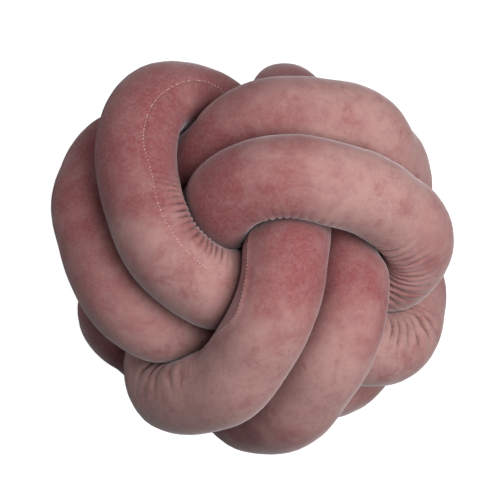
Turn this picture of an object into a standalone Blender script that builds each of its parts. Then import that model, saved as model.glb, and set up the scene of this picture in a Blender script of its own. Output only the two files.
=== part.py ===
"""Knot cushion.

One long velvet tube, stuffed and sewn shut at both ends, is tied into a ball. Three bands cross at
right angles, each of two turns side by side, and each band passes over one neighbour and under the
other. The ball lies on its back: the triangle where the three bands whirl round one gap faces +Z, and
the surface that it lies on is the plane z = 0.
"""

from collections import namedtuple
import math

import bpy
import numpy as np

MILLIMETRE = 0.001

# Driving sizes, in metres and degrees
TUBE_WIDTH = 0.058  # across the stuffed tube where nothing presses on it
OUTER_REACH = 0.1310  # ball's middle to the tube's middle, where a band passes over another
INNER_REACH = 0.0765  # the same, where a band passes under another
TURN_SPACING = 0.0590  # between the middles of a band's two turns, before they are pressed together
SHOULDER_SWELL = 1.01  # how far the tube stands out halfway between two crossings
FACE_TURN = -24.0  # turns the whole pattern about +Z

# How the tube gives way where it is pressed
PRESSED_WIDTH = 0.88  # least distance between two middles, as a share of the tube's width
STRAND_GAP = 0.0020  # left between two strands that press on each other
EDGE_SHARPNESS = 12.0  # how quickly a pressed flat turns into the round of the tube
PLUMPING = 0.7  # how much of what is pressed in on one side swells out on the others
MOST_PLUMP = 1.07
BEND_SHARE = 0.92  # the inner side of a bend stops this share of the way to the bend's centre
SAME_STRETCH = 1.4  # points nearer than this along the tube, in its widths, never press on each other
TOUCHING_REACH = 1.2  # strands whose middles are further apart than this, in widths, don't touch
END_WIDTH = 0.08  # the sewn end's width, as a share of the tube's
END_STEPS = (0.03, 0.12, 0.3)  # where the closer rings that round each end lie, in half widths from the tip
FLAT_DEPTH = 0.0035  # how much of the lowest arcs is pressed flat by the surface

# How the route settles: in each step the strands are pushed apart, held to the tied route and smoothed
SETTLING_STEPS = 200
PUSH_SHARE = 0.8
CROWDING = 0.75  # a point that many others press on is pushed by a smaller share of their sum
HOLD_SHARE = 0.02
SMOOTH_SHARES = (0.2, -0.196)  # in, and then nearly as much out, so that the curve doesn't shrink
EVEN_OUT_EVERY = 20  # steps
LEVELLING_STEPS = 6

# Fineness
CURVE_STEPS = 24
ROUTE_POINTS = 330
RINGS = 300
SIDES = 16
FAR = 1.0  # metres, where nothing presses
TINY = 1e-9

# The middle of each band is a flat ring, and its axis points to a corner of a cube that stands on +Z.
CUBE_CORNER = math.degrees(math.acos(1.0 / math.sqrt(3.0)))
BAND_AZIMUTH = {1: 60.0, 2: 300.0, 3: 180.0}

OVER, UNDER = OUTER_REACH, INNER_REACH

# The tube's passes, in the order in which it is tied. Each row is one pass of a band at a crossing.
# band: which band the pass belongs to.  pole: the band axis that the crossing lies on, with its sign.
# reach: whether the pass is over or under there.  lane: +1 is the turn nearer the band's own axis end,
# and the other numbers are turns that are tied out of line.
# rise: how far the crossing is raised from the plain knot, in millimetres.
# lift, slide: how far the stretch after it is raised, and moved along the band's axis.
Pass = namedtuple("Pass", "band pole reach lane rise lift slide")
PASSES = [
    Pass(2, -3, UNDER, -1, 0, -14, 0),
    Pass(2, +1, OVER, -1, 0, -4, 0),
    Pass(2, +3, UNDER, -1, 0, -9, 0),
    Pass(2, -1, OVER, -1, 0, 0, 0),
    Pass(2, -3, UNDER, +1, 0, -3, 0),
    Pass(2, +1, OVER, +1, 0, 2, 0),
    Pass(2, +3, UNDER, +1, 0, -26, 0),
    Pass(2, -1, OVER, +1, 0, 0, 0),
    Pass(1, -3, OVER, -1, 0, -5, 0),
    Pass(1, +2, UNDER, -1, 0, 0, 0),
    Pass(1, +3, OVER, -1, 0, -6, 0),
    Pass(1, -2, UNDER, -1, -6, 0, 0),
    Pass(1, -3, OVER, +1, -3, -1, 0),
    Pass(1, +2, UNDER, +1, 0, 0, 0),
    Pass(1, +3, OVER, +1, 2, 20, 7),
    Pass(1, -2, UNDER, +1, -6, 0, 0),
    Pass(3, +1, UNDER, -0.9, 0, 0, 9),
    Pass(3, +2, OVER, -1, 0, -6, 0),
    Pass(3, -1, UNDER, -1, 0, 0, 0),
    Pass(3, -2, OVER, -0.5, -12, -26, 16),
    Pass(3, +1, UNDER, +1.12, 0, 0, 7),
    Pass(3, +2, OVER, +1, 0, -2, 6),
    Pass(3, -1, UNDER, +1, 0, 0, 0),
    Pass(3, -2, OVER, +1.4, -20, 0, 0),
]

# Where the tube leaves the bands. Each row is a point, in tube widths along the three band axes.
Point = namedtuple("Point", "along_1 along_2 along_3")
FIRST_END = [  # tucked into the ball's middle
    Point(-0.50, 0.10, 0.42),
    Point(-0.60, -0.12, -0.15),
    Point(-0.52, -0.38, -0.80),
]
BAND_2_TO_1 = [Point(-1.58, 0.62, -1.67)]
BAND_1_TO_3 = [Point(0.62, -1.10, -0.62), Point(0.92, -0.70, -0.80)]
LAST_END = [Point(0.60, -1.40, 0.80)]  # tucked in between two bands
CHANGEOVERS = {(2, 1): BAND_2_TO_1, (1, 3): BAND_1_TO_3}

# Velvet
VELVET_COLOUR = (0.43, 0.19, 0.18, 1.0)
VELVET_ROUGHNESS = 0.85


def band_axis(band):
    azimuth = math.radians(BAND_AZIMUTH[band] + FACE_TURN)
    lean = math.radians(CUBE_CORNER)
    return np.array([
        math.sin(lean) * math.cos(azimuth),
        math.sin(lean) * math.sin(azimuth),
        math.cos(lean),
    ])


AXES = {band: band_axis(band) for band in BAND_AZIMUTH}


def toward(pole):
    return math.copysign(1.0, pole) * AXES[abs(pole)]


def placed(point):
    return TUBE_WIDTH * sum(share * AXES[band] for band, share in zip((1, 2, 3), point))


def crossing(step):
    lane = 0.5 * TURN_SPACING * step.lane
    reach = step.reach + MILLIMETRE * step.rise
    return reach * toward(step.pole) + lane * AXES[step.band]


def shoulder(step, following):
    """The point halfway between two crossings of one band."""
    middle = step.reach * toward(step.pole) + following.reach * toward(following.pole)
    middle = middle * SHOULDER_SWELL / math.sqrt(2.0)
    middle += MILLIMETRE * step.lift * middle / np.linalg.norm(middle)
    lane = 0.25 * TURN_SPACING * (step.lane + following.lane) + MILLIMETRE * step.slide
    return middle + lane * AXES[step.band]


def tied_route():
    """The points that the tube is led through, end to end."""
    points = [placed(point) for point in FIRST_END]
    for step, following in zip(PASSES, PASSES[1:] + [None]):
        points.append(crossing(step))
        if following is None:
            points += [placed(point) for point in LAST_END]
        elif following.band == step.band:
            points.append(shoulder(step, following))
        else:
            points += [placed(point) for point in CHANGEOVERS[step.band, following.band]]
    return np.array(points)


def smooth_curve(points, steps):
    """A Catmull-Rom curve through the points, with this many steps between each two."""
    before, start, end = np.vstack([2 * points[0] - points[1], points[:-2]]), points[:-1], points[1:]
    after = np.vstack([points[2:], 2 * points[-1] - points[-2]])
    curve = []
    for a, b, c, d in zip(before, start, end, after):
        t = np.linspace(0.0, 1.0, steps, endpoint=False)[:, None]
        curve.append(
            b + 0.5 * t * (c - a) + t**2 * (a - 2.5 * b + 2 * c - 0.5 * d)
            + t**3 * (1.5 * (b - c) + 0.5 * (d - a))
        )
    return np.vstack(curve + [points[-1:]])


def run_of(points):
    """How far each point is from the start, along the line."""
    return np.concatenate([[0.0], np.cumsum(np.linalg.norm(np.diff(points, axis=0), axis=1))])


def points_at(points, wanted):
    """The line's points at these distances from its start."""
    run = run_of(points)
    return np.stack([np.interp(wanted, run, points[:, k]) for k in range(3)], axis=1)


def evenly(points, count):
    """The same line, with this many points at equal steps along it."""
    return points_at(points, np.linspace(0.0, run_of(points)[-1], count))


def one_stretch(run):
    """Which pairs of points lie on one stretch of tube."""
    return np.abs(run[:, None] - run[None]) < SAME_STRETCH * TUBE_WIDTH


def settled(points):
    """The route after the strands have pushed each other aside, until they lie side by side."""
    least = PRESSED_WIDTH * TUBE_WIDTH
    tied = points.copy()
    same_stretch = one_stretch(run_of(points))
    for step in range(SETTLING_STEPS):
        apart = points[:, None] - points[None]
        distance = np.linalg.norm(apart, axis=2) + TINY
        short_by = np.where(same_stretch, 0.0, np.maximum(0.0, least - distance))
        push = (apart * (short_by / distance)[..., None]).sum(axis=1)
        contacts = np.maximum(1, (short_by > 0.0).sum(axis=1))[:, None]
        points = points + PUSH_SHARE * push / contacts**CROWDING + HOLD_SHARE * (tied - points)
        for share in SMOOTH_SHARES:
            middles = 0.5 * (points[:-2] + points[2:])
            points[1:-1] += share * (middles - points[1:-1])
        if (step + 1) % EVEN_OUT_EVERY == 0:
            points = evenly(points, len(points))
    return points


def turned(points, normal):
    """The points turned the shortest way that brings this normal to +Z."""
    normal = normal / np.linalg.norm(normal)
    up = np.array([0.0, 0.0, 1.0])
    axis = np.cross(normal, up)
    cross = np.array([[0, -axis[2], axis[1]], [axis[2], 0, -axis[0]], [-axis[1], axis[0], 0]])
    turn = np.eye(3) + cross + cross @ cross / (1.0 + normal @ up)
    return points @ turn.T


def laid_down(points):
    """Turns the knot the few degrees that bring its three back arcs down level.

    The lowest point of the tube's middle then stands half a tube above z = -FLAT_DEPTH.
    """
    third = math.cos(math.radians(60.0))
    for _ in range(LEVELLING_STEPS):
        feet = []
        for band in AXES:
            away = -AXES[band][:2] / np.linalg.norm(AXES[band][:2])
            from_middle = np.linalg.norm(points[:, :2], axis=1)
            sector = points[points[:, :2] @ away > third * from_middle]
            feet.append(sector[sector[:, 2].argmin()])
        normal = np.cross(feet[1] - feet[0], feet[2] - feet[0])
        points = turned(points, normal * math.copysign(1.0, normal[2]))
    low, high = points.min(axis=0), points.max(axis=0)
    centre = 0.5 * (low + high)
    centre[2] = low[2] - 0.5 * TUBE_WIDTH + FLAT_DEPTH
    return points - centre


def travelling_frame(points):
    """Unit vectors along the tube and across it, with no twist from one ring to the next."""
    along = np.gradient(points, axis=0)
    along /= np.linalg.norm(along, axis=1)[:, None]
    side = np.empty_like(along)
    last = np.cross(along[0], AXES[1])
    for i, direction in enumerate(along):
        last = last - direction * (last @ direction)
        last /= np.linalg.norm(last)
        side[i] = last
    return along, side, np.cross(along, side)


def skin(points, rings, sides):
    """Rings of points on the tube's surface, pressed flat where strands meet."""
    radius = 0.5 * TUBE_WIDTH
    curve = smooth_curve(points, CURVE_STEPS)
    length = run_of(curve)[-1]
    end_steps = radius * np.array(END_STEPS)
    run = np.sort(np.concatenate([np.linspace(0.0, length, rings), end_steps, length - end_steps]))
    centres = points_at(curve, run)
    along, side, other = travelling_frame(centres)
    angle = np.linspace(0.0, 2.0 * math.pi, sides, endpoint=False)[None, :, None]
    outward = np.cos(angle) * side[:, None] + np.sin(angle) * other[:, None]

    # Half the way to every other strand, less half the gap, measured along each side's own direction
    same_stretch = one_stretch(run)
    halfway = np.full((len(run), sides), FAR)
    for i in range(len(run)):
        offset = centres - centres[i]
        distance = np.linalg.norm(offset, axis=1)
        near = ~same_stretch[i] & (distance < TOUCHING_REACH * TUBE_WIDTH)
        if near.any():
            facing = outward[i] @ (offset[near] / distance[near][:, None]).T
            room = 0.5 * (distance[near] - STRAND_GAP)[None] / np.maximum(facing, TINY)
            halfway[i] = np.minimum(FAR, room.min(axis=1))

    # The inner side of a bend
    bend = np.gradient(along, run, axis=0)
    inward = (outward * bend[:, None]).sum(axis=2)
    halfway = np.minimum(halfway, BEND_SHARE / np.maximum(inward, TINY))

    def rounded(free):
        return (free**-EDGE_SHARPNESS + halfway**-EDGE_SHARPNESS) ** (-1.0 / EDGE_SHARPNESS)

    pressed_in = 1.0 - (rounded(radius) / radius).mean(axis=1, keepdims=True)
    reach = rounded(radius * np.minimum(MOST_PLUMP, 1.0 + PLUMPING * pressed_in))

    # Round, closed ends
    to_end = np.minimum(run, length - run) / radius
    dome = np.sqrt(np.clip(1.0 - (1.0 - np.minimum(to_end, 1.0)) ** 2, 0.0, 1.0))
    reach = reach * np.maximum(dome, END_WIDTH)[:, None]

    surface = centres[:, None] + reach[..., None] * outward
    surface[..., 2] = np.maximum(surface[..., 2], 0.0)
    return surface


def centred(surface):
    """The surface moved sideways until the middle of its box is over the origin."""
    every = surface.reshape(-1, 3)
    middle = 0.5 * (every.min(axis=0) + every.max(axis=0))
    return surface - middle * (1.0, 1.0, 0.0)


def tube_mesh(name, surface):
    """A closed mesh from rings of points: quads between the rings, and a fan of triangles at each end."""
    rings, sides, _ = surface.shape
    points = surface.reshape(-1, 3).tolist()
    faces = []
    for ring in range(rings - 1):
        for k in range(sides):
            here, beside = ring * sides + k, ring * sides + (k + 1) % sides
            faces.append((here, beside, beside + sides, here + sides))
    for ring, flipped in ((0, True), (rings - 1, False)):
        rim = [ring * sides + k for k in range(sides)]
        points.append(surface[ring].mean(axis=0).tolist())
        tip = len(points) - 1
        for a, b in zip(rim, rim[1:] + rim[:1]):
            faces.append((b, a, tip) if flipped else (a, b, tip))
    mesh = bpy.data.meshes.new(name)
    mesh.from_pydata(points, [], faces)
    mesh.shade_smooth()
    return mesh


def velvet():
    material = bpy.data.materials.new("velvet")
    material.use_nodes = True
    shader = material.node_tree.nodes["Principled BSDF"]
    shader.inputs["Base Color"].default_value = VELVET_COLOUR
    shader.inputs["Roughness"].default_value = VELVET_ROUGHNESS
    shader.inputs["Metallic"].default_value = 0.0
    return material


def build():
    for old in list(bpy.data.objects):
        bpy.data.objects.remove(old, do_unlink=True)
    route = evenly(smooth_curve(tied_route(), CURVE_STEPS), ROUTE_POINTS)
    route = laid_down(settled(route))
    surface = centred(skin(route, RINGS, SIDES))
    tube = bpy.data.objects.new("tube", tube_mesh("tube", surface))
    tube.data.materials.append(velvet())
    bpy.context.scene.collection.objects.link(tube)


build()
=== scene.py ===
"""Knot cushion: one long stuffed tube of dusty-pink velvet, tied into a ball that lies on its back."""

from collections import namedtuple
from itertools import product
import math

import bpy
import numpy as np
from mathutils import Matrix, Vector


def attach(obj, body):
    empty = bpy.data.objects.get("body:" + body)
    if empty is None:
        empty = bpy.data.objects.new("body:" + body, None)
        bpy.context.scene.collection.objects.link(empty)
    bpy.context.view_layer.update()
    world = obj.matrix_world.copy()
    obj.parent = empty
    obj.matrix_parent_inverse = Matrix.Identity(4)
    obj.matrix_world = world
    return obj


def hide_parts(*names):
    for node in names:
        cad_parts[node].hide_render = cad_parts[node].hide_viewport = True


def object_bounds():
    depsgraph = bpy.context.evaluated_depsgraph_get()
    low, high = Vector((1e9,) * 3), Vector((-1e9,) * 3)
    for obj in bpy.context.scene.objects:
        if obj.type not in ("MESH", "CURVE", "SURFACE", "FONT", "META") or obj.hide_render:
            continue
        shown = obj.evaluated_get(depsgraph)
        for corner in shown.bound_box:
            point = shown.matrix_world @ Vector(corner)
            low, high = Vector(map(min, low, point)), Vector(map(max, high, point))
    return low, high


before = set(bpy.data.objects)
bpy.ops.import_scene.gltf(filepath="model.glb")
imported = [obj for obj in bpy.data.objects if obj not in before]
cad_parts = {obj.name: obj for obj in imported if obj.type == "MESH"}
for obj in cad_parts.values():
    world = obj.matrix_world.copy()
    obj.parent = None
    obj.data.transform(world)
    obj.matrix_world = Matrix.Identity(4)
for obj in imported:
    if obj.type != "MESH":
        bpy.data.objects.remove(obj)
solid_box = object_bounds()

# ---------------------------------------------------------------------------------------------------
# The tube: one long sleeve of dusty-pink velvet, sewn shut along one seam and at both ends, and stuffed
# firm. It is tied into a ball: it is led through three bands that cross at right angles, two turns in
# each, and its ends are tucked inside.

# The tying, in the same way and the same sizes as in the solid model. The strands push each other aside
# until they lie side by side.
MILLIMETRE = 0.001
TINY = 1e-9

# Driving sizes, in metres and degrees
TUBE_WIDTH = 0.058  # across the stuffed tube where nothing presses on it
OUTER_REACH = 0.1310  # ball's middle to the tube's middle, where a band passes over another
INNER_REACH = 0.0765  # the same, where a band passes under another
TURN_SPACING = 0.0590  # between the middles of a band's two turns, before they are pressed together
SHOULDER_SWELL = 1.01  # how far the tube stands out halfway between two crossings
FACE_TURN = -24.0  # turns the whole pattern about +Z
PRESSED_WIDTH = 0.88  # least distance between two middles, as a share of the tube's width
SAME_STRETCH = 1.4  # points nearer than this along the tube, in its widths, never press on each other
FLAT_DEPTH = 0.0035  # how much of the lowest arcs is pressed flat by the floor
FOOT_SECTOR = 60.0  # how far to each side of a band's own direction its lowest arc is looked for

# How the route settles: in each step the strands are pushed apart, held to the tied route and smoothed
SETTLING_STEPS = 200
PUSH_SHARE = 0.8
CROWDING = 0.75  # a point that many others press on is pushed by a smaller share of their sum
HOLD_SHARE = 0.02
SMOOTH_SHARES = (0.2, -0.196)  # in, and then nearly as much out, so that the curve doesn't shrink
EVEN_OUT_EVERY = 20  # steps
LEVELLING_STEPS = 6
CURVE_STEPS = 24  # between two points of a curve
ROUTE_POINTS = 330

# The middle of each band is a flat ring, and its axis points to a corner of a cube that stands on +Z.
CUBE_CORNER = math.degrees(math.acos(1.0 / math.sqrt(3.0)))
BAND_AZIMUTH = {1: 60.0, 2: 300.0, 3: 180.0}

OVER, UNDER = OUTER_REACH, INNER_REACH

# The tube's passes, in the order in which it is tied. Each row is one pass of a band at a crossing.
# band: which band the pass belongs to.  pole: the band axis that the crossing lies on, with its sign.
# reach: whether the pass is over or under there.  lane: +1 is the turn nearer the band's own axis end,
# and the other numbers are turns that are tied out of line.
# rise: how far the crossing is raised from the plain knot, in millimetres.
# lift, slide: how far the stretch after it is raised, and moved along the band's axis.
Pass = namedtuple("Pass", "band pole reach lane rise lift slide")
PASSES = [
    Pass(2, -3, UNDER, -1, 0, -14, 0),
    Pass(2, +1, OVER, -1, 0, -4, 0),
    Pass(2, +3, UNDER, -1, 0, -9, 0),
    Pass(2, -1, OVER, -1, 0, 0, 0),
    Pass(2, -3, UNDER, +1, 0, -3, 0),
    Pass(2, +1, OVER, +1, 0, 2, 0),
    Pass(2, +3, UNDER, +1, 0, -26, 0),
    Pass(2, -1, OVER, +1, 0, 0, 0),
    Pass(1, -3, OVER, -1, 0, -5, 0),
    Pass(1, +2, UNDER, -1, 0, 0, 0),
    Pass(1, +3, OVER, -1, 0, -6, 0),
    Pass(1, -2, UNDER, -1, -6, 0, 0),
    Pass(1, -3, OVER, +1, -3, -1, 0),
    Pass(1, +2, UNDER, +1, 0, 0, 0),
    Pass(1, +3, OVER, +1, 2, 20, 7),
    Pass(1, -2, UNDER, +1, -6, 0, 0),
    Pass(3, +1, UNDER, -0.9, 0, 0, 9),
    Pass(3, +2, OVER, -1, 0, -6, 0),
    Pass(3, -1, UNDER, -1, 0, 0, 0),
    Pass(3, -2, OVER, -0.5, -12, -26, 16),
    Pass(3, +1, UNDER, +1.12, 0, 0, 7),
    Pass(3, +2, OVER, +1, 0, -2, 6),
    Pass(3, -1, UNDER, +1, 0, 0, 0),
    Pass(3, -2, OVER, +1.4, -20, 0, 0),
]

# Where the tube leaves the bands, in tube widths along the three band axes
Point = namedtuple("Point", "along_1 along_2 along_3")
FIRST_END = [Point(-0.50, 0.10, 0.42), Point(-0.60, -0.12, -0.15), Point(-0.52, -0.38, -0.80)]
BAND_2_TO_1 = [Point(-1.58, 0.62, -1.67)]
BAND_1_TO_3 = [Point(0.62, -1.10, -0.62), Point(0.92, -0.70, -0.80)]
LAST_END = [Point(0.60, -1.40, 0.80)]
CHANGEOVERS = {(2, 1): BAND_2_TO_1, (1, 3): BAND_1_TO_3}


def band_axis(band):
    azimuth = math.radians(BAND_AZIMUTH[band] + FACE_TURN)
    lean = math.radians(CUBE_CORNER)
    return np.array([
        math.sin(lean) * math.cos(azimuth),
        math.sin(lean) * math.sin(azimuth),
        math.cos(lean),
    ])


AXES = {band: band_axis(band) for band in BAND_AZIMUTH}


def toward(pole):
    return math.copysign(1.0, pole) * AXES[abs(pole)]


def placed(point):
    return TUBE_WIDTH * sum(widths * AXES[band] for band, widths in zip((1, 2, 3), point))


def crossing(step):
    reach = step.reach + MILLIMETRE * step.rise
    return reach * toward(step.pole) + 0.5 * TURN_SPACING * step.lane * AXES[step.band]


def shoulder(step, following):
    """The point halfway between two crossings of one band."""
    middle = step.reach * toward(step.pole) + following.reach * toward(following.pole)
    middle = middle * SHOULDER_SWELL / math.sqrt(2.0)
    middle += MILLIMETRE * step.lift * middle / np.linalg.norm(middle)
    lane = 0.25 * TURN_SPACING * (step.lane + following.lane) + MILLIMETRE * step.slide
    return middle + lane * AXES[step.band]


def tied_route():
    points = [placed(point) for point in FIRST_END]
    for step, following in zip(PASSES, PASSES[1:] + [None]):
        points.append(crossing(step))
        if following is None:
            points += [placed(point) for point in LAST_END]
        elif following.band == step.band:
            points.append(shoulder(step, following))
        else:
            points += [placed(point) for point in CHANGEOVERS[step.band, following.band]]
    return np.array(points)


def smooth_curve(points, steps):
    """A smooth curve through the points, with this many steps between each two."""
    before, start, end = np.vstack([2 * points[0] - points[1], points[:-2]]), points[:-1], points[1:]
    after = np.vstack([points[2:], 2 * points[-1] - points[-2]])
    curve = []
    for a, b, c, d in zip(before, start, end, after):
        t = np.linspace(0.0, 1.0, steps, endpoint=False)[:, None]
        curve.append(
            b + 0.5 * t * (c - a) + t**2 * (a - 2.5 * b + 2 * c - 0.5 * d)
            + t**3 * (1.5 * (b - c) + 0.5 * (d - a))
        )
    return np.vstack(curve + [points[-1:]])


def run_of(points):
    """How far each point is from the start, along the line."""
    return np.concatenate([[0.0], np.cumsum(np.linalg.norm(np.diff(points, axis=0), axis=1))])


def carried(rows, places, wanted):
    """Rows of three numbers that are known at some places, worked out at the wanted ones."""
    return np.stack([np.interp(wanted, places, rows[:, k]) for k in range(3)], axis=1)


def points_at(points, wanted):
    """The line's points at these distances from its start."""
    return carried(points, run_of(points), wanted)


def evenly(points, count):
    return points_at(points, np.linspace(0.0, run_of(points)[-1], count))


def one_stretch(run):
    """Which pairs of points lie on one stretch of tube, and so never press on each other."""
    return np.abs(run[:, None] - run[None]) < SAME_STRETCH * TUBE_WIDTH


def settled(points):
    """The route after the strands have pushed each other aside, until they lie side by side."""
    least = PRESSED_WIDTH * TUBE_WIDTH
    tied = points.copy()
    same_stretch = one_stretch(run_of(points))
    for step in range(SETTLING_STEPS):
        apart = points[:, None] - points[None]
        distance = np.linalg.norm(apart, axis=2) + TINY
        short_by = np.where(same_stretch, 0.0, np.maximum(0.0, least - distance))
        push = (apart * (short_by / distance)[..., None]).sum(axis=1)
        contacts = np.maximum(1, (short_by > 0.0).sum(axis=1))[:, None]
        points = points + PUSH_SHARE * push / contacts**CROWDING + HOLD_SHARE * (tied - points)
        for smoothing in SMOOTH_SHARES:
            middles = 0.5 * (points[:-2] + points[2:])
            points[1:-1] += smoothing * (middles - points[1:-1])
        if (step + 1) % EVEN_OUT_EVERY == 0:
            points = evenly(points, len(points))
    return points


def turned(points, normal):
    """The points turned the shortest way that brings this normal to +Z."""
    normal = normal / np.linalg.norm(normal)
    up = np.array([0.0, 0.0, 1.0])
    axis = np.cross(normal, up)
    cross = np.array([[0, -axis[2], axis[1]], [axis[2], 0, -axis[0]], [-axis[1], axis[0], 0]])
    shortest_turn = np.eye(3) + cross + cross @ cross / (1.0 + normal @ up)
    return points @ shortest_turn.T


def laid_down(points):
    """Turns the knot until its three back arcs lie level on the floor, and centres it."""
    nearest = math.cos(math.radians(FOOT_SECTOR))
    for _ in range(LEVELLING_STEPS):
        feet = []
        for band in AXES:
            away = -AXES[band][:2] / np.linalg.norm(AXES[band][:2])
            from_middle = np.linalg.norm(points[:, :2], axis=1)
            sector = points[points[:, :2] @ away > nearest * from_middle]
            feet.append(sector[sector[:, 2].argmin()])
        normal = np.cross(feet[1] - feet[0], feet[2] - feet[0])
        points = turned(points, normal * math.copysign(1.0, normal[2]))
    low, high = points.min(axis=0), points.max(axis=0)
    centre = 0.5 * (low + high)
    centre[2] = low[2] - 0.5 * TUBE_WIDTH + FLAT_DEPTH
    return points - centre


route = evenly(smooth_curve(tied_route(), CURVE_STEPS), ROUTE_POINTS)
route = smooth_curve(laid_down(settled(route)), CURVE_STEPS)
route_run = run_of(route)
tube_length = route_run[-1]

# The sleeve round the filling. It is pressed flat where strands meet, and gathers into short creases
# across the tube where it turns. Its rings stand closer there, and its columns closer beside the seam.
STRAND_GAP = 0.0005  # left between two strands that press on each other
EDGE_SHARPNESS = 12.0  # how quickly a pressed flat turns into the round of the tube
PLUMPING = 0.7  # how much of what is pressed in on one side swells out on the others
MOST_PLUMP = 1.07
BEND_SHARE = 0.92  # the inner side of a bend stops this share of the way to the bend's centre
TOUCHING_REACH = 1.4  # strands whose middles are further apart than this, in widths, don't touch
END_WIDTH = 0.08  # the sewn end's width, as a share of the tube's
FAR = 1.0  # metres, where nothing presses
RINGS = 1880
SIDES = 52  # columns round the tube, those beside the seam among them
COARSE_STEP, MIDDLING_STEP, FINE_STEP = 0.0044, 0.0024, 0.00092  # between rings

# The seam: at a share of the tube's length, how far it lies from the side that faces the ball's middle,
# in degrees, how deep its groove is (less than 0 for a welt), and how far its stitches stand out, as
# shares. It shows on two strands, and is turned inward on the rest.
SeamPlace = namedtuple("SeamPlace", "share turn groove proud")
SEAM_PLACES = [
    SeamPlace(0.000, 0.0, 0.3, 0.3),
    SeamPlace(0.530, 0.0, 0.3, 0.3),
    SeamPlace(0.598, -130.0, 0.4, 0.4),
    SeamPlace(0.614, -130.0, 0.6, 0.6),
    SeamPlace(0.620, -123.0, 1.0, 1.0),
    SeamPlace(0.626, -127.0, 1.0, 1.0),
    SeamPlace(0.632, -121.0, 1.0, 1.0),
    SeamPlace(0.638, -109.0, 1.0, 1.0),
    SeamPlace(0.650, -106.0, 1.0, 1.0),
    SeamPlace(0.690, -60.0, 0.3, 0.3),
    SeamPlace(0.850, -60.0, 0.3, 0.3),
    SeamPlace(0.881, -106.0, -1.2, 0.45),
    SeamPlace(0.893, -122.0, -1.4, 0.45),
    SeamPlace(0.904, -72.0, -0.8, 0.3),
    SeamPlace(0.920, -30.0, 0.3, 0.3),
    SeamPlace(1.000, 0.0, 0.3, 0.3),
]
SEAM_SIDES = 14  # columns in the strip beside the seam
SEAM_COLUMN = SEAM_SIDES // 2
SEAM_STRIP = 0.0070  # half the strip's width
SEAM_EASE = 0.012  # how gently the seam changes course
GROOVE_WIDTH, GROOVE_DEPTH = 0.0016, 0.0009
PUCKER_REACH, PUCKER_DEPTH, PUCKER_PITCH = 0.0045, 0.0005, 0.0036
PUCKER_WANDER = 2.0  # how far puckers stray from an even pitch, next to how far creases do

# The creases that show: from one share of the tube's length to another, about a side that lies this far
# from the one that faces the ball's middle, with this half-width, in degrees.
CreasePatch = namedtuple("CreasePatch", "start stop turn spread pitch depth")
CREASE_PATCHES = [
    CreasePatch(0.2060, 0.2350, 82.0, 34.0, 0.0064, 0.0070),
    CreasePatch(0.2400, 0.2640, 88.0, 24.0, 0.0066, 0.0013),
    CreasePatch(0.5500, 0.5680, -104.0, 30.0, 0.0088, 0.0085),
    CreasePatch(0.5960, 0.6240, -84.0, 28.0, 0.0050, 0.0040),
    CreasePatch(0.6230, 0.6480, -92.0, 26.0, 0.0095, 0.0012),
    CreasePatch(0.8990, 0.9120, -64.0, 26.0, 0.0064, 0.0012),
    CreasePatch(0.9090, 0.9300, -86.0, 30.0, 0.0115, 0.0024),
]
PATCH_EDGE = 0.3  # the part of a patch's length over which its creases fade in, and out
PATCH_MARGIN = 0.002  # how far before a patch the rings start to close up, as a share of the tube's length
CREASE_SHARPNESS = 2.2
CREASE_LEVEL = 0.35  # the crease's mean depth, so that the tube keeps its width
FULL_SHADE_DEPTH = 0.004  # the depth of a crease whose valley gets the full painted shade

# Creases on the inner side of every other sharp turn, shallower where the turn shortens the skin
SHARP_BEND = (0.30, 0.46)  # half the tube's width over the bend's radius, where they start and are full
BEND_PITCH, BEND_DEPTH = 0.0120, 0.0022
BEND_WANDER = 1.6  # how far they stray from an even pitch, next to how far the other creases do
EASE_RINGS = 2  # they fade in over this many rings on each side

# What is uneven in the sleeve: how big its lumps are, by how much they change it, and a seed of its own
Lumps = namedtuple("Lumps", "size amount seed")
WANDER = Lumps(0.022, 0.50, 1)  # creases off their even pitch, in pitches
FLUTTER = Lumps(0.010, 0.25, 2)
PATCH_BREAKS = Lumps(0.010, 0.40, 3)  # how strong a crease is, from one place to the next
BEND_BREAKS = Lumps(0.014, 0.35, 3)
SWELLS = Lumps(0.045, 0.0010, 4)  # the stuffing
DENTS = Lumps(0.015, 0.00045, 5)

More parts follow.
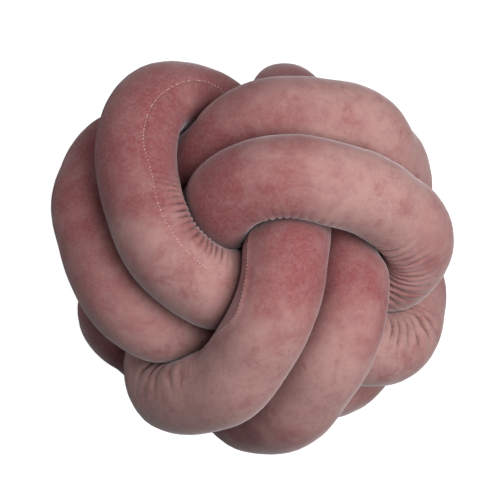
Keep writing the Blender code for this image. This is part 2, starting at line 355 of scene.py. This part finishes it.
# How the pile has been brushed, with painted light in it: at a share of the tube's length, from 0 for
# deep rose to 1 for pale. It is partly the pile's own nap and partly painted light and shade: pale where
# the light falls on a strand, deep rose where shade falls on it
NapAndLightPlace = namedtuple("NapAndLightPlace", "share pale")
NAP_AND_LIGHT_PLACES = [
    NapAndLightPlace(0.000, 0.40),
    NapAndLightPlace(0.050, 0.60),
    NapAndLightPlace(0.068, 0.75),
    NapAndLightPlace(0.081, 0.50),
    NapAndLightPlace(0.090, 0.25),
    NapAndLightPlace(0.104, 0.05),
    NapAndLightPlace(0.180, 0.40),
    NapAndLightPlace(0.215, 0.55),
    NapAndLightPlace(0.227, 0.65),
    NapAndLightPlace(0.239, 0.95),
    NapAndLightPlace(0.252, 0.45),
    NapAndLightPlace(0.261, 0.05),
    NapAndLightPlace(0.285, 0.20),
    NapAndLightPlace(0.308, 0.00),
    NapAndLightPlace(0.330, 0.20),
    NapAndLightPlace(0.382, 0.55),
    NapAndLightPlace(0.400, 0.60),
    NapAndLightPlace(0.418, 1.00),
    NapAndLightPlace(0.427, 0.75),
    NapAndLightPlace(0.436, 0.42),
    NapAndLightPlace(0.445, 0.38),
    NapAndLightPlace(0.465, 0.20),
    NapAndLightPlace(0.540, 0.50),
    NapAndLightPlace(0.558, 0.80),
    NapAndLightPlace(0.580, 0.60),
    NapAndLightPlace(0.604, 0.72),
    NapAndLightPlace(0.612, 0.42),
    NapAndLightPlace(0.622, 0.12),
    NapAndLightPlace(0.640, 0.12),
    NapAndLightPlace(0.680, 0.35),
    NapAndLightPlace(0.706, 0.20),
    NapAndLightPlace(0.718, 0.20),
    NapAndLightPlace(0.730, 0.98),
    NapAndLightPlace(0.745, 0.40),
    NapAndLightPlace(0.800, 0.40),
    NapAndLightPlace(0.875, 0.05),
    NapAndLightPlace(0.884, 0.15),
    NapAndLightPlace(0.891, 0.50),
    NapAndLightPlace(0.903, 0.95),
    NapAndLightPlace(0.921, 1.00),
    NapAndLightPlace(0.935, 0.80),
    NapAndLightPlace(1.000, 0.40),
]

# Large odd numbers that spread neighbouring places far apart
SCATTER_X, SCATTER_Y, SCATTER_Z, SCATTER_SEED = 73856093, 19349663, 83492791, 2654435761
STIRRING = 1274126177
FIRST_SHIFT, SECOND_SHIFT = 13, 16
LOW_BITS = 0xFFFF


def scrambled(x, y, z, seed):
    """An even spread of numbers from -1 to 1, one for each whole-numbered place."""
    mixed = (x * SCATTER_X) ^ (y * SCATTER_Y) ^ (z * SCATTER_Z) ^ (seed * SCATTER_SEED)
    mixed = (mixed ^ (mixed >> FIRST_SHIFT)) * STIRRING
    return ((mixed ^ (mixed >> SECOND_SHIFT)) & LOW_BITS) / (0.5 * LOW_BITS) - 1.0


def smooth_step(low, high, value):
    part = np.clip((value - low) / (high - low), 0.0, 1.0)
    return part * part * (3.0 - 2.0 * part)


def uneven(points, lumps):
    """A smooth, uneven field through space: lumps of this size, up to their amount either way."""
    cell = points / lumps.size
    base = np.floor(cell).astype(np.int64)
    part = smooth_step(0.0, 1.0, cell - base)
    total = np.zeros(points.shape[:-1])
    for z, y, x in product((0, 1), repeat=3):
        corner = np.array([x, y, z])
        weight = np.where(corner == 1, part, 1.0 - part).prod(axis=-1)
        total += weight * scrambled(*np.moveaxis(base + corner, -1, 0), lumps.seed)
    return lumps.amount * total


def broken(points, lumps):
    """A strength that is 1 at its most, and weaker in some places than in others."""
    return 1.0 - lumps.amount + uneven(points, lumps)


def bell(value):
    """1 at 0, and less and less on both sides of it."""
    return np.exp(-(value**2))


def nearest_way(angle, full_turn):
    """The same angle, brought to between half a turn back and half a turn on."""
    return (angle + 0.5 * full_turn) % full_turn - 0.5 * full_turn


def waves(phase):
    """A row of valleys with broad crests between them, less its mean."""
    return (0.5 + 0.5 * np.cos(2.0 * math.pi * phase)) ** CREASE_SHARPNESS - CREASE_LEVEL


def eased(values, width):
    """Values along the route, averaged over this distance."""
    count = max(1, int(round(width * len(values) / tube_length)))
    padded = np.pad(values, count, mode="edge")
    return np.convolve(padded, np.ones(count) / count, mode="same")[count:-count]


def travelling_frame(points):
    """Unit vectors along the tube and across it, with no twist from one ring to the next."""
    along = np.gradient(points, axis=0)
    along /= np.linalg.norm(along, axis=1)[:, None]
    side = np.empty_like(along)
    last = np.cross(along[0], AXES[1])
    for i, direction in enumerate(along):
        last = last - direction * (last @ direction)
        last /= np.linalg.norm(last)
        side[i] = last
    return along, side, np.cross(along, side)


def ring_places():
    """Distances along the tube, close in the crease patches, less so where it bends sharply."""
    along = np.gradient(route, route_run, axis=0)
    bend = np.linalg.norm(np.gradient(along, route_run, axis=0), axis=1) * 0.5 * TUBE_WIDTH
    bent = smooth_step(*SHARP_BEND, eased(bend, SEAM_EASE))
    density = 1.0 / COARSE_STEP + bent * (1.0 / MIDDLING_STEP - 1.0 / COARSE_STEP)
    share = route_run / tube_length
    for patch in CREASE_PATCHES:
        inside = np.minimum(share - patch.start, patch.stop - share)
        density = np.maximum(density, smooth_step(-PATCH_MARGIN, 0.0, inside) / FINE_STEP)
    between = 0.5 * (density[1:] + density[:-1]) * np.diff(route_run)
    count = np.concatenate([[0.0], np.cumsum(between)])
    return np.interp(np.linspace(0.0, count[-1], RINGS), count, route_run)


def column_angles():
    """Angles round the tube from the seam: close on both sides of it, wider elsewhere."""
    strip = 2.0 * SEAM_STRIP / TUBE_WIDTH
    beside = np.linspace(-strip, strip, SEAM_SIDES + 1)
    rest = np.linspace(strip, 2.0 * math.pi - strip, SIDES - SEAM_SIDES + 1)[1:-1]
    return np.concatenate([beside, rest])


# Rings along the tube, their columns counted from the seam, and the direction of every point
run = ring_places()
share = run / tube_length
centres = points_at(route, run)
along, side, other = travelling_frame(centres)
ball_middle = np.array([0.0, 0.0, 0.5 * (route[:, 2].min() + route[:, 2].max())])
inward = ball_middle - centres
facing_in = np.unwrap(np.arctan2((inward * other).sum(axis=1), (inward * side).sum(axis=1)))
seam = SeamPlace(*zip(*SEAM_PLACES))
seam_course = eased(np.interp(route_run / tube_length, seam.share, seam.turn), SEAM_EASE)
seam_turn = np.interp(run, route_run, seam_course)
columns = column_angles()
angle = (facing_in + np.radians(seam_turn))[:, None] + columns[None]
outward = np.cos(angle)[..., None] * side[:, None] + np.sin(angle)[..., None] * other[:, None]
radius = 0.5 * TUBE_WIDTH


def room_to_others():
    """Half the way to every other strand, less half the gap, along each point's own direction."""
    same_stretch = one_stretch(run)
    nearest = np.full((RINGS, SIDES), FAR)
    for ring in range(RINGS):
        offset = centres - centres[ring]
        distance = np.linalg.norm(offset, axis=1)
        near = ~same_stretch[ring] & (distance < TOUCHING_REACH * TUBE_WIDTH)
        if near.any():
            facing = outward[ring] @ (offset[near] / distance[near][:, None]).T
            halfway = 0.5 * (distance[near] - STRAND_GAP)[None] / np.maximum(facing, TINY)
            nearest[ring] = np.minimum(FAR, halfway.min(axis=1))
    return nearest


bend = np.gradient(along, run, axis=0)
bend_in = (outward * bend[:, None]).sum(axis=2)
room = np.minimum(room_to_others(), BEND_SHARE / np.maximum(bend_in, TINY))


def rounded(free):
    """The reach of a tube that would reach this far if nothing pressed on it."""
    return (free**-EDGE_SHARPNESS + room**-EDGE_SHARPNESS) ** (-1.0 / EDGE_SHARPNESS)


pressed_in = 1.0 - (rounded(radius) / radius).mean(axis=1, keepdims=True)
reach = rounded(radius * np.minimum(MOST_PLUMP, 1.0 + PLUMPING * pressed_in))

# The creases
plain = centres[:, None] + reach[..., None] * outward
from_inside = seam_turn[:, None] + np.degrees(columns)[None]
wobble = uneven(plain, WANDER) + uneven(plain, FLUTTER)
in_patches = np.zeros((RINGS, 1))
crease_shade = np.zeros((RINGS, SIDES))
for patch in CREASE_PATCHES:
    edge = PATCH_EDGE * (patch.stop - patch.start)
    entered = smooth_step(0.0, edge, share - patch.start)
    inside = (entered * smooth_step(0.0, edge, patch.stop - share))[:, None]
    in_patches = np.maximum(in_patches, inside)
    away = nearest_way(from_inside - patch.turn, 360.0)
    strength = inside * bell(away / patch.spread) * broken(plain, PATCH_BREAKS)
    crease = waves(run[:, None] / patch.pitch + wobble)
    reach = reach - patch.depth * strength * crease
    # painted shade: how deep each crease's valley lies, so that it is given a darker colour, standing in
    # for the shade that falls in it
    crease_shading = strength * (crease + CREASE_LEVEL) * min(1.0, patch.depth / FULL_SHADE_DEPTH)
    crease_shade = np.maximum(crease_shade, crease_shading)
squeeze = smooth_step(*SHARP_BEND, bend_in * radius) * (1.0 - in_patches)
squeeze = sum(np.roll(squeeze, rings, axis=0) for rings in range(-EASE_RINGS, EASE_RINGS + 1))
squeeze = squeeze / (2 * EASE_RINGS + 1) * broken(plain, BEND_BREAKS)
shortened = 1.0 - np.clip(bend_in * radius, 0.0, BEND_SHARE)
reach = reach - BEND_DEPTH * squeeze * shortened * waves(run[:, None] / BEND_PITCH + BEND_WANDER * wobble)

# The seam's groove and puckers, the uneven stuffing, and the round ends
off_seam = nearest_way(columns, 2.0 * math.pi)[None] * radius
seam_groove = np.interp(share, seam.share, seam.groove)
reach = reach - GROOVE_DEPTH * seam_groove[:, None] * bell(off_seam / GROOVE_WIDTH)
pucker = bell(off_seam / PUCKER_REACH) * in_patches
pucker_phase = run[:, None] / PUCKER_PITCH + PUCKER_WANDER * wobble
reach = reach + PUCKER_DEPTH * pucker * np.cos(2.0 * math.pi * pucker_phase)
reach = reach + uneven(plain, SWELLS) + uneven(plain, DENTS)
reach = np.minimum(reach, room)
to_end = np.minimum(run, tube_length - run) / radius
dome = np.sqrt(np.clip(1.0 - (1.0 - np.minimum(to_end, 1.0)) ** 2, 0.0, 1.0))
reach = reach * np.maximum(dome, END_WIDTH)[:, None]

# The skin, pressed level where it meets the floor, with the middle of its box over the origin
surface = centres[:, None] + reach[..., None] * outward
surface[..., 2] = np.maximum(surface[..., 2], 0.0)
box_middle = 0.5 * (surface.min(axis=(0, 1)) + surface.max(axis=(0, 1)))
surface -= box_middle * (1.0, 1.0, 0.0)


def ringed_mesh(name, rings):
    """A closed mesh from rings of points: quads between the rings, and a fan of triangles at each end."""
    count, sides, _ = rings.shape
    points = rings.reshape(-1, 3).tolist()
    faces = []
    for ring in range(count - 1):
        for k in range(sides):
            here, beside = ring * sides + k, ring * sides + (k + 1) % sides
            faces.append((here, beside, beside + sides, here + sides))
    for ring, flipped in ((0, True), (count - 1, False)):
        rim = [ring * sides + k for k in range(sides)]
        points.append(rings[ring].mean(axis=0).tolist())
        tip = len(points) - 1
        for a, b in zip(rim, rim[1:] + rim[:1]):
            faces.append((b, a, tip) if flipped else (a, b, tip))
    mesh = bpy.data.meshes.new(name)
    mesh.from_pydata(points, [], faces)
    mesh.shade_smooth()
    return mesh


def in_scene(name, data):
    thing = bpy.data.objects.new(name, data)
    bpy.context.scene.collection.objects.link(thing)
    return thing


sleeve = in_scene("velvet_tube", ringed_mesh("velvet_tube", surface))
END_TIPS = (0.0, 0.0)  # the two points that close the ends get neither the brushed pile and painted light nor the painted crease shade
nap_and_light = NapAndLightPlace(*zip(*NAP_AND_LIGHT_PLACES))
nap_and_painted_light = np.repeat(np.interp(share, nap_and_light.share, nap_and_light.pale), SIDES)
for name, layer in (("brushed_and_lit", nap_and_painted_light), ("crease_shade", crease_shade.ravel())):
    attribute = sleeve.data.attributes.new(name, "FLOAT", "POINT")
    attribute.data.foreach_set("value", np.append(layer, END_TIPS))

# The velvet's colour: ragged patches of deep and pale rose, partly where the pile leans one way or the
# other and partly painted light and shade, pale where the light falls and deep where shade falls; smaller
# crushed marks in them, painted shade in the creases, and the grain of the pile itself
# deep and pale rose serve both the pile's own tone and the painted light and shade of the brushed table
DEEP_ROSE = (0.228, 0.066, 0.072, 1.0)
PALE_ROSE = (0.375, 0.218, 0.204, 1.0)
ROSE_GREY = (0.262, 0.126, 0.136, 1.0)
# painted shade: the dark rose laid in the crease valleys
PAINTED_CREASE_SHADE = (0.100, 0.040, 0.040, 1.0)
VELVET_SHADER = {
    "Metallic": 0.0,
    "Roughness": 0.92,
    "Specular IOR Level": 0.12,
    "Sheen Weight": 0.62,
    "Sheen Roughness": 0.36,
    "Sheen Tint": (0.74, 0.73, 0.76, 1.0),
}

# A cloud's lumps to the metre, how many times finer lumps are laid on them and how strongly, and how far
# the whole is pulled out of shape
Cloud = namedtuple("Cloud", "scale detail roughness distortion")
LEANING_PILE = Cloud(34.0, 5.0, 0.60, 0.3)
CRUSHED_PILE = Cloud(105.0, 7.0, 0.80, 0.3)
SMUDGED_PILE = Cloud(44.0, 6.0, 0.70, 0.3)
TUFTED_PILE = Cloud(430.0, 4.0, 0.75, 0.2)
PILE_GRAIN = Cloud(1500.0, 2.0, 0.6, 0.0)
CLOUD_MIDDLE = 0.5
RAGGED = 1.5  # how far the leaning pile's cloud shifts the edge between deep and pale
PALE_FROM, PALE_TO = 0.02, 0.90  # where the pale pile starts to show and is full, at the cloud's middle

# Marks in the pile, each laid over the one before: where it starts in its cloud and where it is full, how
# much of the colour shows there, and the colour
Mark = namedtuple("Mark", "cloud start full most colour")
PILE_MARKS = [
    Mark(CRUSHED_PILE, 0.47, 0.60, 0.46, ROSE_GREY),
    Mark(SMUDGED_PILE, 0.52, 0.68, 0.50, DEEP_ROSE),
    Mark(TUFTED_PILE, 0.42, 0.64, 0.24, PALE_ROSE),
]
CREASE_SHADE_FROM, CREASE_SHADE_TO, CREASE_SHADE_MOST = 0.06, 0.60, 0.95  # the same for the painted shade in the creases
PILE_HEIGHT = 0.0004
PILE_RELIEF = 0.35  # how much of that height shows


def cloud_group():
    """A node group that gives a cloudy mask fixed to the cushion."""
    group = bpy.data.node_groups.new("cloud", "ShaderNodeTree")
    place = group.nodes.new("ShaderNodeTexCoord")
    noise = group.nodes.new("ShaderNodeTexNoise")
    taken, given = group.nodes.new("NodeGroupInput"), group.nodes.new("NodeGroupOutput")
    for field in Cloud._fields:
        group.interface.new_socket(field, in_out="INPUT", socket_type="NodeSocketFloat")
        group.links.new(taken.outputs[field], noise.inputs[field.capitalize()])
    group.interface.new_socket("mask", in_out="OUTPUT", socket_type="NodeSocketFloat")
    group.links.new(place.outputs["Object"], noise.inputs["Vector"])
    group.links.new(noise.outputs["Fac"], given.inputs["mask"])
    return group


CLOUD_GROUP = cloud_group()


def new_material(name, shader_values):
    """A material, with these plain values on its shader, and that shader."""
    material = bpy.data.materials.new(name)
    material.use_nodes = True
    shader = material.node_tree.nodes["Principled BSDF"]
    for socket, value in shader_values.items():
        shader.inputs[socket].default_value = value
    return material, shader


def cloudy(tree, cloud):
    """A cloudy mask fixed to the cushion."""
    group = tree.nodes.new("ShaderNodeGroup")
    group.node_tree = CLOUD_GROUP
    for field, number in cloud._asdict().items():
        group.inputs[field].default_value = number
    return group.outputs["mask"]


def showing(tree, mask, start, full, most):
    """0 up to the mask's start, and eased from there to the most, which it keeps once it is full."""
    ease = tree.nodes.new("ShaderNodeMapRange")
    ease.interpolation_type = "SMOOTHSTEP"
    for name, number in (("From Min", start), ("From Max", full), ("To Min", 0.0), ("To Max", most)):
        ease.inputs[name].default_value = number
    tree.links.new(mask, ease.inputs["Value"])
    return ease.outputs["Result"]


def blend_of(tree, mask, first, second):
    """A blend of two colours by a mask, each a fixed colour or another node's."""
    blend = tree.nodes.new("ShaderNodeMix")
    blend.data_type = "RGBA"
    tree.links.new(mask, blend.inputs["Factor"])
    for name, colour in (("A_Color", first), ("B_Color", second)):
        socket = next(s for s in blend.inputs if s.identifier == name)
        if isinstance(colour, tuple):
            socket.default_value = colour
        else:
            tree.links.new(colour, socket)
    return next(s for s in blend.outputs if s.identifier == "Result_Color")


def drawn_layer(tree, name):
    """A value that the sleeve's mesh carries at each of its points."""
    layer = tree.nodes.new("ShaderNodeAttribute")
    layer.attribute_name = name
    return layer.outputs["Fac"]


velvet, velvet_shader = new_material("dusty pink velvet", VELVET_SHADER)
pile_tree = velvet.node_tree
# painted light and shade, mixed with the pile's nap: the brushed table, made ragged by the leaning cloud,
# gives pale rose where the light falls and deep rose where shade falls
leaning_and_lit = pile_tree.nodes.new("ShaderNodeMath")
leaning_and_lit.operation = "MULTIPLY_ADD"
pile_tree.links.new(cloudy(pile_tree, LEANING_PILE), leaning_and_lit.inputs[0])
leaning_and_lit.inputs[1].default_value = RAGGED
pile_tree.links.new(drawn_layer(pile_tree, "brushed_and_lit"), leaning_and_lit.inputs[2])
shift = CLOUD_MIDDLE * RAGGED
brushed_and_lit = showing(pile_tree, leaning_and_lit.outputs["Value"], shift + PALE_FROM, shift + PALE_TO, 1.0)
pile_colour = blend_of(pile_tree, brushed_and_lit, DEEP_ROSE, PALE_ROSE)
for mark in PILE_MARKS:
    marked = showing(pile_tree, cloudy(pile_tree, mark.cloud), mark.start, mark.full, mark.most)
    pile_colour = blend_of(pile_tree, marked, pile_colour, mark.colour)
# painted shade: a dark rose laid in the crease valleys, standing in for the shade that falls there
crease_shade_mask = showing(pile_tree, drawn_layer(pile_tree, "crease_shade"), CREASE_SHADE_FROM, CREASE_SHADE_TO, CREASE_SHADE_MOST)
pile_colour = blend_of(pile_tree, crease_shade_mask, pile_colour, PAINTED_CREASE_SHADE)
pile_tree.links.new(pile_colour, velvet_shader.inputs["Base Color"])
relief = pile_tree.nodes.new("ShaderNodeBump")
relief.inputs["Strength"].default_value = PILE_RELIEF
relief.inputs["Distance"].default_value = PILE_HEIGHT
pile_tree.links.new(cloudy(pile_tree, PILE_GRAIN), relief.inputs["Height"])
pile_tree.links.new(relief.outputs["Normal"], velvet_shader.inputs["Normal"])
sleeve.data.materials.append(velvet)

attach(sleeve, "root")
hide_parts("tube")

# ---------------------------------------------------------------------------------------------------
# The stitches of the seam: pale thread, one short stitch after another in the groove. They are one mesh
# of small beads with narrow ends, each laid along the seam.
STITCH_PITCH, STITCH_LENGTH, STITCH_WIDTH = 0.0028, 0.0013, 0.0011
STITCH_SINK = 0.65  # how deep the thread is pulled in, as a share of its width
STITCH_SIDES = 5
STITCH_TAPER = 0.4  # the width of each end, as a share of the stitch's
STITCH_RINGS = [(-0.5, STITCH_TAPER), (0.0, 1.0), (0.5, STITCH_TAPER)]  # shares of its length and width
SEAM_ENDS = 0.03  # left without stitches at each end of the tube
THREAD_SHADER = {"Roughness": 0.7}
THREAD_FIBRES = Cloud(420.0, 1.0, 0.5, 0.0)
THREAD_FROM, THREAD_TO = 0.35, 0.65  # where in its cloud the thread changes from deep to pale
DEEP_THREAD, PALE_THREAD = (0.42, 0.22, 0.20, 1.0), (0.62, 0.42, 0.39, 1.0)

seam_line = surface[:, SEAM_COLUMN]
seam_run = run_of(seam_line)
stitch_places = np.arange(SEAM_ENDS, seam_run[-1] - SEAM_ENDS, STITCH_PITCH)
stitch_middles = points_at(seam_line, stitch_places)
stitch_along = points_at(seam_line, stitch_places + 0.5 * STITCH_PITCH) - stitch_middles
stitch_along /= np.linalg.norm(stitch_along, axis=1)[:, None]
stitch_up = carried(outward[:, SEAM_COLUMN], seam_run, stitch_places)
stitch_up -= stitch_along * (stitch_up * stitch_along).sum(axis=1)[:, None]
stitch_up /= np.linalg.norm(stitch_up, axis=1)[:, None]
stitch_beside = np.cross(stitch_along, stitch_up)
seam_proud = np.interp(share, seam.share, seam.proud)
stitch_proud = np.interp(stitch_places, seam_run, seam_proud) - STITCH_SINK
stitch_middles = stitch_middles + STITCH_WIDTH * stitch_proud[:, None] * stitch_up

around = np.linspace(0.0, 2.0 * math.pi, STITCH_SIDES, endpoint=False)
thread_points, thread_faces = [], []
for middle, ahead, above, beside in zip(stitch_middles, stitch_along, stitch_up, stitch_beside):
    first = len(thread_points)
    for place, width in STITCH_RINGS:
        for turn in around:
            across = math.cos(turn) * beside + math.sin(turn) * above
            point = middle + place * STITCH_LENGTH * ahead + 0.5 * STITCH_WIDTH * width * across
            thread_points.append(point.tolist())
    last = len(thread_points) - 1
    for ring in range(len(STITCH_RINGS) - 1):
        ring_first = first + ring * STITCH_SIDES
        for k in range(STITCH_SIDES):
            here, next_on = ring_first + k, ring_first + (k + 1) % STITCH_SIDES
            thread_faces.append((here, here + STITCH_SIDES, next_on + STITCH_SIDES, next_on))
    thread_faces.append(tuple(first + k for k in range(STITCH_SIDES)))
    thread_faces.append(tuple(last - k for k in range(STITCH_SIDES)))
thread_mesh = bpy.data.meshes.new("seam_stitches")
thread_mesh.from_pydata(thread_points, [], thread_faces)
thread_mesh.shade_smooth()
stitches = in_scene("seam_stitches", thread_mesh)

thread, thread_shader = new_material("pale pink thread", THREAD_SHADER)
thread_tree = thread.node_tree
fibres = showing(thread_tree, cloudy(thread_tree, THREAD_FIBRES), THREAD_FROM, THREAD_TO, 1.0)
thread_colour = blend_of(thread_tree, fibres, DEEP_THREAD, PALE_THREAD)
thread_tree.links.new(thread_colour, thread_shader.inputs["Base Color"])
thread_mesh.materials.append(thread)

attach(stitches, "root")

# ---------------------------------------------------------------------------------------------------
# The studio: a white floor under the cushion, a large soft lamp at the right, a weaker one at the upper
# left and a low one beside that for the edges, and the camera almost straight above, where the
# photograph was taken.
FLOOR_WIDTH = 8.0
PAPER_SHADER = {
    "Base Color": (0.25, 0.25, 0.25, 1.0),
    "Roughness": 0.9,
    "Emission Color": (1.0, 1.0, 1.0, 1.0),
}
PAPER_GLOW = 0.94  # the paper is lit from behind, so that it stays white beside the cushion
half = 0.5 * FLOOR_WIDTH
floor_corners = [(-half, -half, 0.0), (half, -half, 0.0), (half, half, 0.0), (-half, half, 0.0)]
floor_mesh = bpy.data.meshes.new("floor")
floor_mesh.from_pydata(floor_corners, [], [(0, 1, 2, 3)])
floor = in_scene("floor", floor_mesh)
paper, paper_shader = new_material("white paper", PAPER_SHADER)
paper_tree = paper.node_tree
seen = paper_tree.nodes.new("ShaderNodeLightPath")
glow = paper_tree.nodes.new("ShaderNodeMath")
glow.operation = "MULTIPLY"
glow.inputs[1].default_value = PAPER_GLOW
paper_tree.links.new(seen.outputs["Is Camera Ray"], glow.inputs[0])
paper_tree.links.new(glow.outputs["Value"], paper_shader.inputs["Emission Strength"])
floor_mesh.materials.append(paper)

AIR_COLOUR, AIR_GLOW = (0.93, 0.95, 1.0, 1.0), 0.11
air = bpy.data.worlds.new("studio air")
air.use_nodes = True
air.node_tree.nodes["Background"].inputs["Color"].default_value = AIR_COLOUR
air.node_tree.nodes["Background"].inputs["Strength"].default_value = AIR_GLOW
bpy.context.scene.world = air

# Each lamp's direction from the cushion's middle, in degrees, its distance and width in metres, and watts
Lamp = namedtuple("Lamp", "name azimuth height distance width power")
LAMP_COLOUR = (1.0, 0.970, 0.950)
LAMPS = [
    Lamp("key", 2.0, 56.0, 1.15, 1.0, 18.0),
    Lamp("fill", 130.0, 45.0, 2.2, 1.6, 9.0),
    Lamp("edge", 138.0, 14.0, 1.6, 0.8, 2.6),
]
cushion_middle = Vector((0.0, 0.0, 0.5 * solid_box[1][2]))


def direction(azimuth, height):
    """A unit vector at these angles, in degrees, from +X and from the floor."""
    azimuth, height = math.radians(azimuth), math.radians(height)
    return Vector((
        math.cos(height) * math.cos(azimuth),
        math.cos(height) * math.sin(azimuth),
        math.sin(height),
    ))


for lamp in LAMPS:
    light = bpy.data.lights.new(lamp.name, "AREA")
    light.shape = "DISK"
    light.size = lamp.width
    light.energy = lamp.power
    light.color = LAMP_COLOUR
    toward_lamp = direction(lamp.azimuth, lamp.height)
    holder = in_scene(lamp.name, light)
    holder.location = cushion_middle + lamp.distance * toward_lamp
    holder.rotation_euler = toward_lamp.to_track_quat("Z", "Y").to_euler()

CAMERA_DISTANCE = 1.4
CAMERA_AZIMUTH, CAMERA_LEAN, CAMERA_ROLL = -7.1, 6.7, 0.9  # degrees, the lean from straight above
PIXELS_PER_METRE = 1339.0  # at the cushion's middle
MIDDLE_X, MIDDLE_Y = 256.7, 255.5  # the pixel of the photograph that the cushion's middle falls on
PHOTO_WIDTH = 500.0
back = direction(CAMERA_AZIMUTH, 90.0 - CAMERA_LEAN)
level = Vector((0.0, 1.0, 0.0)).cross(back).normalized()
upright = back.cross(level)
roll = math.radians(CAMERA_ROLL)
right = level * math.cos(roll) + upright * math.sin(roll)
up = upright * math.cos(roll) - level * math.sin(roll)
camera = bpy.data.cameras.new("camera")
camera.lens = camera.sensor_width * PIXELS_PER_METRE * CAMERA_DISTANCE / PHOTO_WIDTH
camera.shift_x = (0.5 * PHOTO_WIDTH - MIDDLE_X) / PHOTO_WIDTH
camera.shift_y = (MIDDLE_Y - 0.5 * PHOTO_WIDTH) / PHOTO_WIDTH
viewer = in_scene("camera", camera)
facing = Matrix((right, up, back)).transposed().to_4x4()
viewer.matrix_world = Matrix.Translation(cushion_middle + CAMERA_DISTANCE * back) @ facing
bpy.context.scene.camera = viewer
bpy.context.scene.view_settings.view_transform = "Standard"
